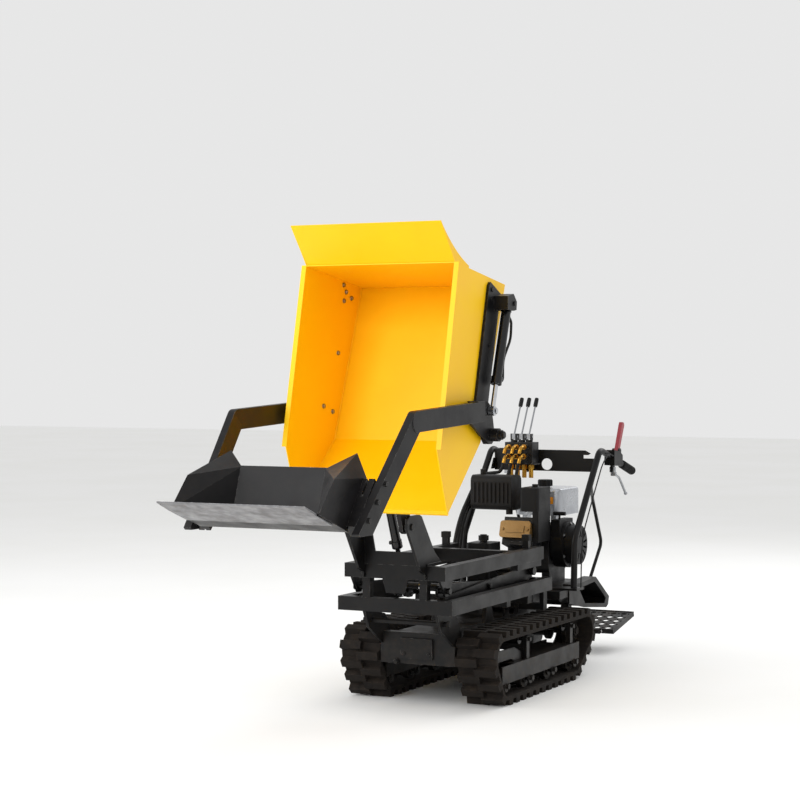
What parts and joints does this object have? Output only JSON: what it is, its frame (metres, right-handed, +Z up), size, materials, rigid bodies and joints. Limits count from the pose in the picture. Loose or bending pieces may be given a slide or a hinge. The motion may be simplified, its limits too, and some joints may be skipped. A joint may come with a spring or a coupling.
{
  "type": "tracked power wheelbarrow",
  "caption": "Walk-behind tracked dumper: a scissor lift raises a forward-tipping skip whose side arms carry a self-loading shovel",
  "frame": {"origin": "on the ground, under the middle of the machine's box, in the centre plane between the tracks", "axes": "+Z up; +Y is rearwards, towards the operator; +X is the machine's left side"},
  "size_m": [0.856, 3.5604, 1.9855],
  "materials": {
    "chassis_steel": "satin black powder coat",
    "lift_steel": "satin black powder coat",
    "skip_yellow": "glossy amber yellow powder coat",
    "loader_steel": "satin black powder coat",
    "cutting_steel": "ground wear steel",
    "track_rubber": "dusty black rubber",
    "wheel_steel": "black painted casting",
    "barrel_steel": "gloss black",
    "rod_chrome": "hard chrome",
    "engine_cast": "cast aluminium",
    "cover_bronze": "bronze lacquer",
    "black_plastic": "moulded black",
    "tank_grey": "silver enamel",
    "pad_rubber": "pale rubber",
    "cap_rubber": "black rubber",
    "yellow_zinc": "yellow zinc plate",
    "lever_red": "red grip sleeve",
    "hose_rubber": "braided hose cover",
    "lever_steel": "zinc plated rod",
    "muffler_black": "heat-proof matt black"
  },
  "bodies": {
    "upper": {"upper_frame": "lift_steel", "post_caps": "cap_rubber", "pedestal": "lift_steel"},
    "scissor_outer": {"scissor_outer": "lift_steel"},
    "scissor_inner": {"scissor_inner": "lift_steel"},
    "skip": {"skip": "skip_yellow", "skip_fittings": "loader_steel"},
    "loader": {"loader_arms": "loader_steel", "shovel": "loader_steel", "cutting_plate": "cutting_steel"},
    "loader_barrels": {"loader_barrels": "barrel_steel", "cylinder_hoses": "hose_rubber"},
    "loader_rods": {"loader_rods": "rod_chrome"},
    "dump_barrel": {"dump_barrel": "barrel_steel"},
    "dump_rod": {"dump_rod": "rod_chrome"},
    "lift_barrel": {"lift_barrel": "barrel_steel"},
    "lift_rod": {"lift_rod": "rod_chrome"},
    "clutch_lever": {"clutch_lever": "lever_red"},
    "brake_lever_left": {"brake_lever_left": "lever_steel"},
    "brake_lever_right": {"brake_lever_right": "lever_steel"},
    "platform": {"platform": "chassis_steel"},
    "fuel_cap": {"fuel_cap": "black_plastic"},
    "valve_lever_1": {"valve_lever_1": "lever_steel"},
    "valve_lever_2": {"valve_lever_2": "lever_steel"},
    "valve_lever_3": {"valve_lever_3": "lever_steel"},
    "sprocket_left": {"sprocket_left": "wheel_steel"},
    "idler_left": {"idler_left": "wheel_steel"},
    "bottom_roller_1_left": {"bottom_roller_1_left": "wheel_steel"},
    "bottom_roller_2_left": {"bottom_roller_2_left": "wheel_steel"},
    "bottom_roller_3_left": {"bottom_roller_3_left": "wheel_steel"},
    "bottom_roller_4_left": {"bottom_roller_4_left": "wheel_steel"},
    "sprocket_right": {"sprocket_right": "wheel_steel"},
    "idler_right": {"idler_right": "wheel_steel"},
    "bottom_roller_1_right": {"bottom_roller_1_right": "wheel_steel"},
    "bottom_roller_2_right": {"bottom_roller_2_right": "wheel_steel"},
    "bottom_roller_3_right": {"bottom_roller_3_right": "wheel_steel"},
    "bottom_roller_4_right": {"bottom_roller_4_right": "wheel_steel"},
    "chassis": {"chassis_frame": "chassis_steel", "chassis_trim": "chassis_steel", "track_frames": "chassis_steel", "track_belts": "track_rubber", "lower_frame": "chassis_steel", "buffer_pads": "pad_rubber", "engine_block": "engine_cast", "valve_cover": "cover_bronze", "muffler": "muffler_black", "air_cleaner": "black_plastic", "fuel_tank": "tank_grey", "recoil_starter": "black_plastic", "gearbox": "engine_cast", "hydraulic_pump": "engine_cast", "hydraulic_tank": "chassis_steel", "handlebar": "lift_steel", "hand_grips": "cap_rubber", "operator_panel": "lift_steel", "control_valve": "barrel_steel", "valve_fittings": "yellow_zinc", "handle_clamps": "black_plastic", "rear_guard": "chassis_steel", "hoses_and_cables": "hose_rubber"}
  },
  "joints": [
    {"name": "lift", "type": "hinge", "parent": "chassis", "child": "scissor_outer", "pos_m": [0, -0.41015, 0.45], "axis": [1, 0, 0], "range_deg": [0, 30]},
    {"name": "scissor_centre", "type": "hinge", "parent": "scissor_outer", "child": "scissor_inner", "pos_m": [0, 0.04585, 0.475], "axis": [1, 0, 0], "range_deg": [-61, 0]},
    {"name": "scissor_top", "type": "hinge", "parent": "scissor_inner", "child": "upper", "pos_m": [0, -0.41015, 0.5], "axis": [1, 0, 0], "range_deg": [0, 31]},
    {"name": "lift_barrel_turn", "type": "hinge", "parent": "chassis", "child": "lift_barrel", "pos_m": [0, 0.41485, 0.425], "axis": [1, 0, 0], "range_deg": [-28, 0]},
    {"name": "lift_rod_slide", "type": "slide", "parent": "lift_barrel", "child": "lift_rod", "axis": [0, -0.9948, 0.1019], "range_m": [0, 0.152]},
    {"name": "tip", "type": "hinge", "parent": "upper", "child": "skip", "pos_m": [0, -0.61515, 0.775], "axis": [1, 0, 0], "range_deg": [-68.9, 0]},
    {"name": "dump_rod_turn", "type": "hinge", "parent": "upper", "child": "dump_rod", "pos_m": [0, -0.37015, 0.48], "axis": [1, 0, 0], "range_deg": [-6, 0]},
    {"name": "dump_barrel_slide", "type": "slide", "parent": "dump_rod", "child": "dump_barrel", "axis": [0, -0.389, 0.9212], "range_m": [-0.1701, 0]},
    {"name": "loader_swing", "type": "hinge", "parent": "skip", "child": "loader", "pos_m": [0, -0.33515, 1.139], "axis": [1, 0, 0], "range_deg": [-12, 40]},
    {"name": "loader_barrel_turn", "type": "hinge", "parent": "skip", "child": "loader_barrels", "pos_m": [0, -0.20015, 1.676], "axis": [1, 0, 0], "range_deg": [-6, 3]},
    {"name": "loader_rod_slide", "type": "slide", "parent": "loader_barrels", "child": "loader_rods", "axis": [0, -0.3272, -0.945], "range_m": [-0.019, 0.0562]},
    {"name": "drive_left", "type": "hinge", "parent": "chassis", "child": "sprocket_left", "pos_m": [0.27, 0.78285, 0.203], "axis": [1, 0, 0], "continuous": true},
    {"name": "idler_turn_left", "type": "hinge", "parent": "chassis", "child": "idler_left", "pos_m": [0.27, -0.17715, 0.205], "axis": [1, 0, 0], "continuous": true},
    {"name": "roller_1_turn_left", "type": "hinge", "parent": "chassis", "child": "bottom_roller_1_left", "pos_m": [0.27, -0.13515, 0.082], "axis": [1, 0, 0], "continuous": true},
    {"name": "roller_2_turn_left", "type": "hinge", "parent": "chassis", "child": "bottom_roller_2_left", "pos_m": [0.27, 0.12585, 0.082], "axis": [1, 0, 0], "continuous": true},
    {"name": "roller_3_turn_left", "type": "hinge", "parent": "chassis", "child": "bottom_roller_3_left", "pos_m": [0.27, 0.38685, 0.082], "axis": [1, 0, 0], "continuous": true},
    {"name": "roller_4_turn_left", "type": "hinge", "parent": "chassis", "child": "bottom_roller_4_left", "pos_m": [0.27, 0.64785, 0.082], "axis": [1, 0, 0], "continuous": true},
    {"name": "drive_right", "type": "hinge", "parent": "chassis", "child": "sprocket_right", "pos_m": [-0.27, 0.78285, 0.203], "axis": [1, 0, 0], "continuous": true},
    {"name": "idler_turn_right", "type": "hinge", "parent": "chassis", "child": "idler_right", "pos_m": [-0.27, -0.17715, 0.205], "axis": [1, 0, 0], "continuous": true},
    {"name": "roller_1_turn_right", "type": "hinge", "parent": "chassis", "child": "bottom_roller_1_right", "pos_m": [-0.27, -0.13515, 0.082], "axis": [1, 0, 0], "continuous": true},
    {"name": "roller_2_turn_right", "type": "hinge", "parent": "chassis", "child": "bottom_roller_2_right", "pos_m": [-0.27, 0.12585, 0.082], "axis": [1, 0, 0], "continuous": true},
    {"name": "roller_3_turn_right", "type": "hinge", "parent": "chassis", "child": "bottom_roller_3_right", "pos_m": [-0.27, 0.38685, 0.082], "axis": [1, 0, 0], "continuous": true},
    {"name": "roller_4_turn_right", "type": "hinge", "parent": "chassis", "child": "bottom_roller_4_right", "pos_m": [-0.27, 0.64785, 0.082], "axis": [1, 0, 0], "continuous": true},
    {"name": "valve_lever_1", "type": "hinge", "parent": "chassis", "child": "valve_lever_1", "pos_m": [-0.142, 1.10485, 1.078], "axis": [1, 0, 0], "range_deg": [-14, 14], "stiffness_Nm_per_rad": 6},
    {"name": "valve_lever_2", "type": "hinge", "parent": "chassis", "child": "valve_lever_2", "pos_m": [-0.103, 1.10485, 1.078], "axis": [1, 0, 0], "range_deg": [-14, 14], "stiffness_Nm_per_rad": 6},
    {"name": "valve_lever_3", "type": "hinge", "parent": "chassis", "child": "valve_lever_3", "pos_m": [-0.064, 1.10485, 1.078], "axis": [1, 0, 0], "range_deg": [-14, 14], "stiffness_Nm_per_rad": 6},
    {"name": "clutch", "type": "hinge", "parent": "chassis", "child": "clutch_lever", "pos_m": [0.28, 1.38285, 1.004], "axis": [1, 0, 0], "range_deg": [-40, 0], "stiffness_Nm_per_rad": 3, "springref_deg": 20.05},
    {"name": "brake_left", "type": "hinge", "parent": "chassis", "child": "brake_lever_left", "pos_m": [0.28, 1.32585, 0.918], "axis": [1, 0, 0], "range_deg": [0, 20], "stiffness_Nm_per_rad": 4, "springref_deg": -17.19},
    {"name": "brake_right", "type": "hinge", "parent": "chassis", "child": "brake_lever_right", "pos_m": [-0.28, 1.32585, 0.918], "axis": [1, 0, 0], "range_deg": [0, 20], "stiffness_Nm_per_rad": 4, "springref_deg": -17.19},
    {"name": "platform_fold", "type": "hinge", "parent": "chassis", "child": "platform", "pos_m": [0, 1.47636, 0.10723], "axis": [1, 0, 0], "range_deg": [0, 85]},
    {"name": "fuel_cap_turn", "type": "hinge", "parent": "chassis", "child": "fuel_cap", "pos_m": [0.003, 1.14485, 0.858], "axis": [0, 0, 1], "range_deg": [0, 90]}
  ],
  "couplings": [
    {"joint": "scissor_centre", "follows": "lift", "ratio": -2},
    {"joint": "scissor_top", "follows": "lift", "ratio": 1},
    {"joint": "lift_barrel_turn", "follows": "lift", "ratio": -0.88025},
    {"joint": "lift_rod_slide", "follows": "lift", "m_per_rad": 0.28448},
    {"joint": "dump_rod_turn", "follows": "tip", "ratio": 0.063714},
    {"joint": "dump_barrel_slide", "follows": "tip", "m_per_rad": 0.13897},
    {"joint": "loader_barrel_turn", "follows": "loader_swing", "ratio": -0.12378},
    {"joint": "loader_rod_slide", "follows": "loader_swing", "m_per_rad": 0.076251},
    {"joint": "idler_turn_left", "follows": "drive_left", "ratio": 0.95714},
    {"joint": "roller_1_turn_left", "follows": "drive_left", "ratio": 1.5227},
    {"joint": "roller_2_turn_left", "follows": "drive_left", "ratio": 1.5227},
    {"joint": "roller_3_turn_left", "follows": "drive_left", "ratio": 1.5227},
    {"joint": "roller_4_turn_left", "follows": "drive_left", "ratio": 1.5227},
    {"joint": "idler_turn_right", "follows": "drive_right", "ratio": 0.95714},
    {"joint": "roller_1_turn_right", "follows": "drive_right", "ratio": 1.5227},
    {"joint": "roller_2_turn_right", "follows": "drive_right", "ratio": 1.5227},
    {"joint": "roller_3_turn_right", "follows": "drive_right", "ratio": 1.5227},
    {"joint": "roller_4_turn_right", "follows": "drive_right", "ratio": 1.5227}
  ]
}
